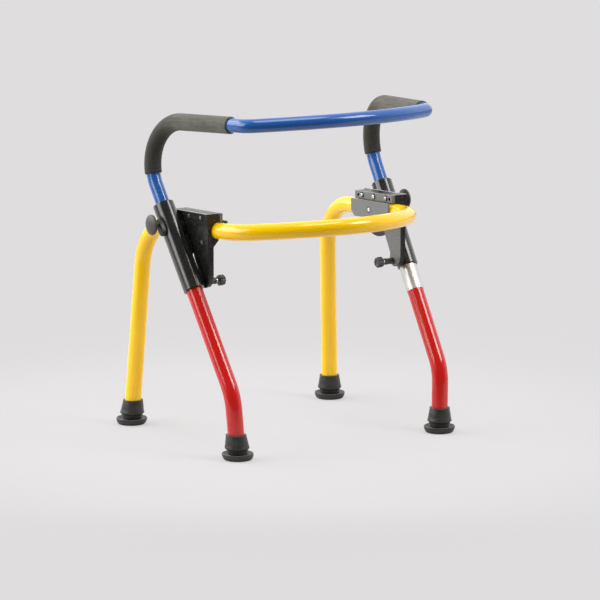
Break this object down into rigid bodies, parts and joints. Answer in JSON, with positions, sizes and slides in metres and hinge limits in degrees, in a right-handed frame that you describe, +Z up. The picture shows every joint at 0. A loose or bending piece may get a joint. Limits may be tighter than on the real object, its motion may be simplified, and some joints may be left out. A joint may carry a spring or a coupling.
{
  "type": "pediatric folding walking frame",
  "caption": "Low folding walking frame for a child: bent tube base with rear legs, slanted front legs, a bowed handle frame with foam grips, side hinges, and rubber feet.",
  "frame": {"origin": "centre of the bounding box's base, on the floor under the four feet", "axes": "+Z up; -Y the way the user walks, with the closed front bars at -Y; +X to the user's left"},
  "size_m": [0.468, 0.3976, 0.5134],
  "materials": {
    "yellow_paint": "glossy powder coat",
    "blue_paint": "glossy powder coat",
    "red_paint": "glossy powder coat",
    "black_paint": "semi-gloss powder coat",
    "black_casting": "satin coated casting",
    "grey_metal": "satin",
    "zinc_steel": "bright zinc",
    "black_steel": "blackened",
    "black_plastic": "moulded satin",
    "grip_foam": "soft closed-cell foam, matte",
    "foot_rubber": "matte",
    "silver_foil": "bare foil, unprinted"
  },
  "bodies": {
    "frame": {"lower_frame": "yellow_paint", "foot_rear_left": "foot_rubber", "foot_rear_right": "foot_rubber", "side_bracket_left": "black_casting", "side_bracket_right": "black_casting", "clamp_bar_left": "grey_metal", "clamp_bar_right": "grey_metal", "saddle_plate_left": "grey_metal", "saddle_plate_right": "grey_metal", "bar_screw_left_1": "zinc_steel", "bar_screw_left_2": "zinc_steel", "bar_screw_left_3": "zinc_steel", "bar_screw_right_1": "zinc_steel", "bar_screw_right_2": "zinc_steel", "bar_screw_right_3": "zinc_steel", "saddle_screw_left": "zinc_steel", "saddle_screw_right": "zinc_steel", "outer_screw_left_1": "black_steel", "outer_screw_left_2": "black_steel", "outer_screw_left_3": "black_steel", "outer_screw_right_1": "black_steel", "outer_screw_right_2": "black_steel", "outer_screw_right_3": "black_steel", "pivot_pin_left": "zinc_steel", "pivot_pin_right": "zinc_steel", "lock_sleeve_left": "black_plastic", "lock_sleeve_right": "black_plastic"},
    "front": {"side_tube_left": "black_paint", "side_tube_right": "black_paint", "guide_bush_left": "black_plastic", "guide_bush_right": "black_plastic", "front_leg_left": "red_paint", "front_leg_right": "red_paint", "foot_front_left": "foot_rubber", "foot_front_right": "foot_rubber", "leg_band": "silver_foil"},
    "handle": {"handle_frame": "blue_paint", "grip_left": "grip_foam", "grip_right": "grip_foam"},
    "clamp_left": {"clamp_knob_left": "black_plastic", "clamp_stud_left": "zinc_steel"},
    "clamp_right": {"clamp_knob_right": "black_plastic", "clamp_stud_right": "zinc_steel"},
    "lock_left": {"lock_knob_left": "black_plastic", "lock_pin_left": "zinc_steel"},
    "lock_right": {"lock_knob_right": "black_plastic", "lock_pin_right": "zinc_steel"}
  },
  "joints": [
    {"name": "fold", "type": "hinge", "parent": "frame", "child": "front", "pos_m": [0, 0.02954, 0.32698], "axis": [1, 0, 0], "range_deg": [0, 40]},
    {"name": "handle_slide", "type": "slide", "parent": "front", "child": "handle", "axis": [0, 0.5595, 0.8288], "range_m": [-0.005, 0.035]},
    {"name": "clamp_turn_left", "type": "hinge", "parent": "front", "child": "clamp_left", "pos_m": [0.19642, 0.0343, 0.33402], "axis": [1, 0, 0], "range_deg": [0, 360]},
    {"name": "clamp_turn_right", "type": "hinge", "parent": "front", "child": "clamp_right", "pos_m": [-0.19642, 0.0343, 0.33402], "axis": [-1, 0, 0], "range_deg": [0, 360]},
    {"name": "lock_pull_left", "type": "slide", "parent": "frame", "child": "lock_left", "axis": [-1, 0, 0], "range_m": [0, 0.006], "stiffness_N_per_m": 400, "springref_m": -0.004},
    {"name": "lock_pull_right", "type": "slide", "parent": "frame", "child": "lock_right", "axis": [1, 0, 0], "range_m": [0, 0.006], "stiffness_N_per_m": 400, "springref_m": -0.004}
  ]
}
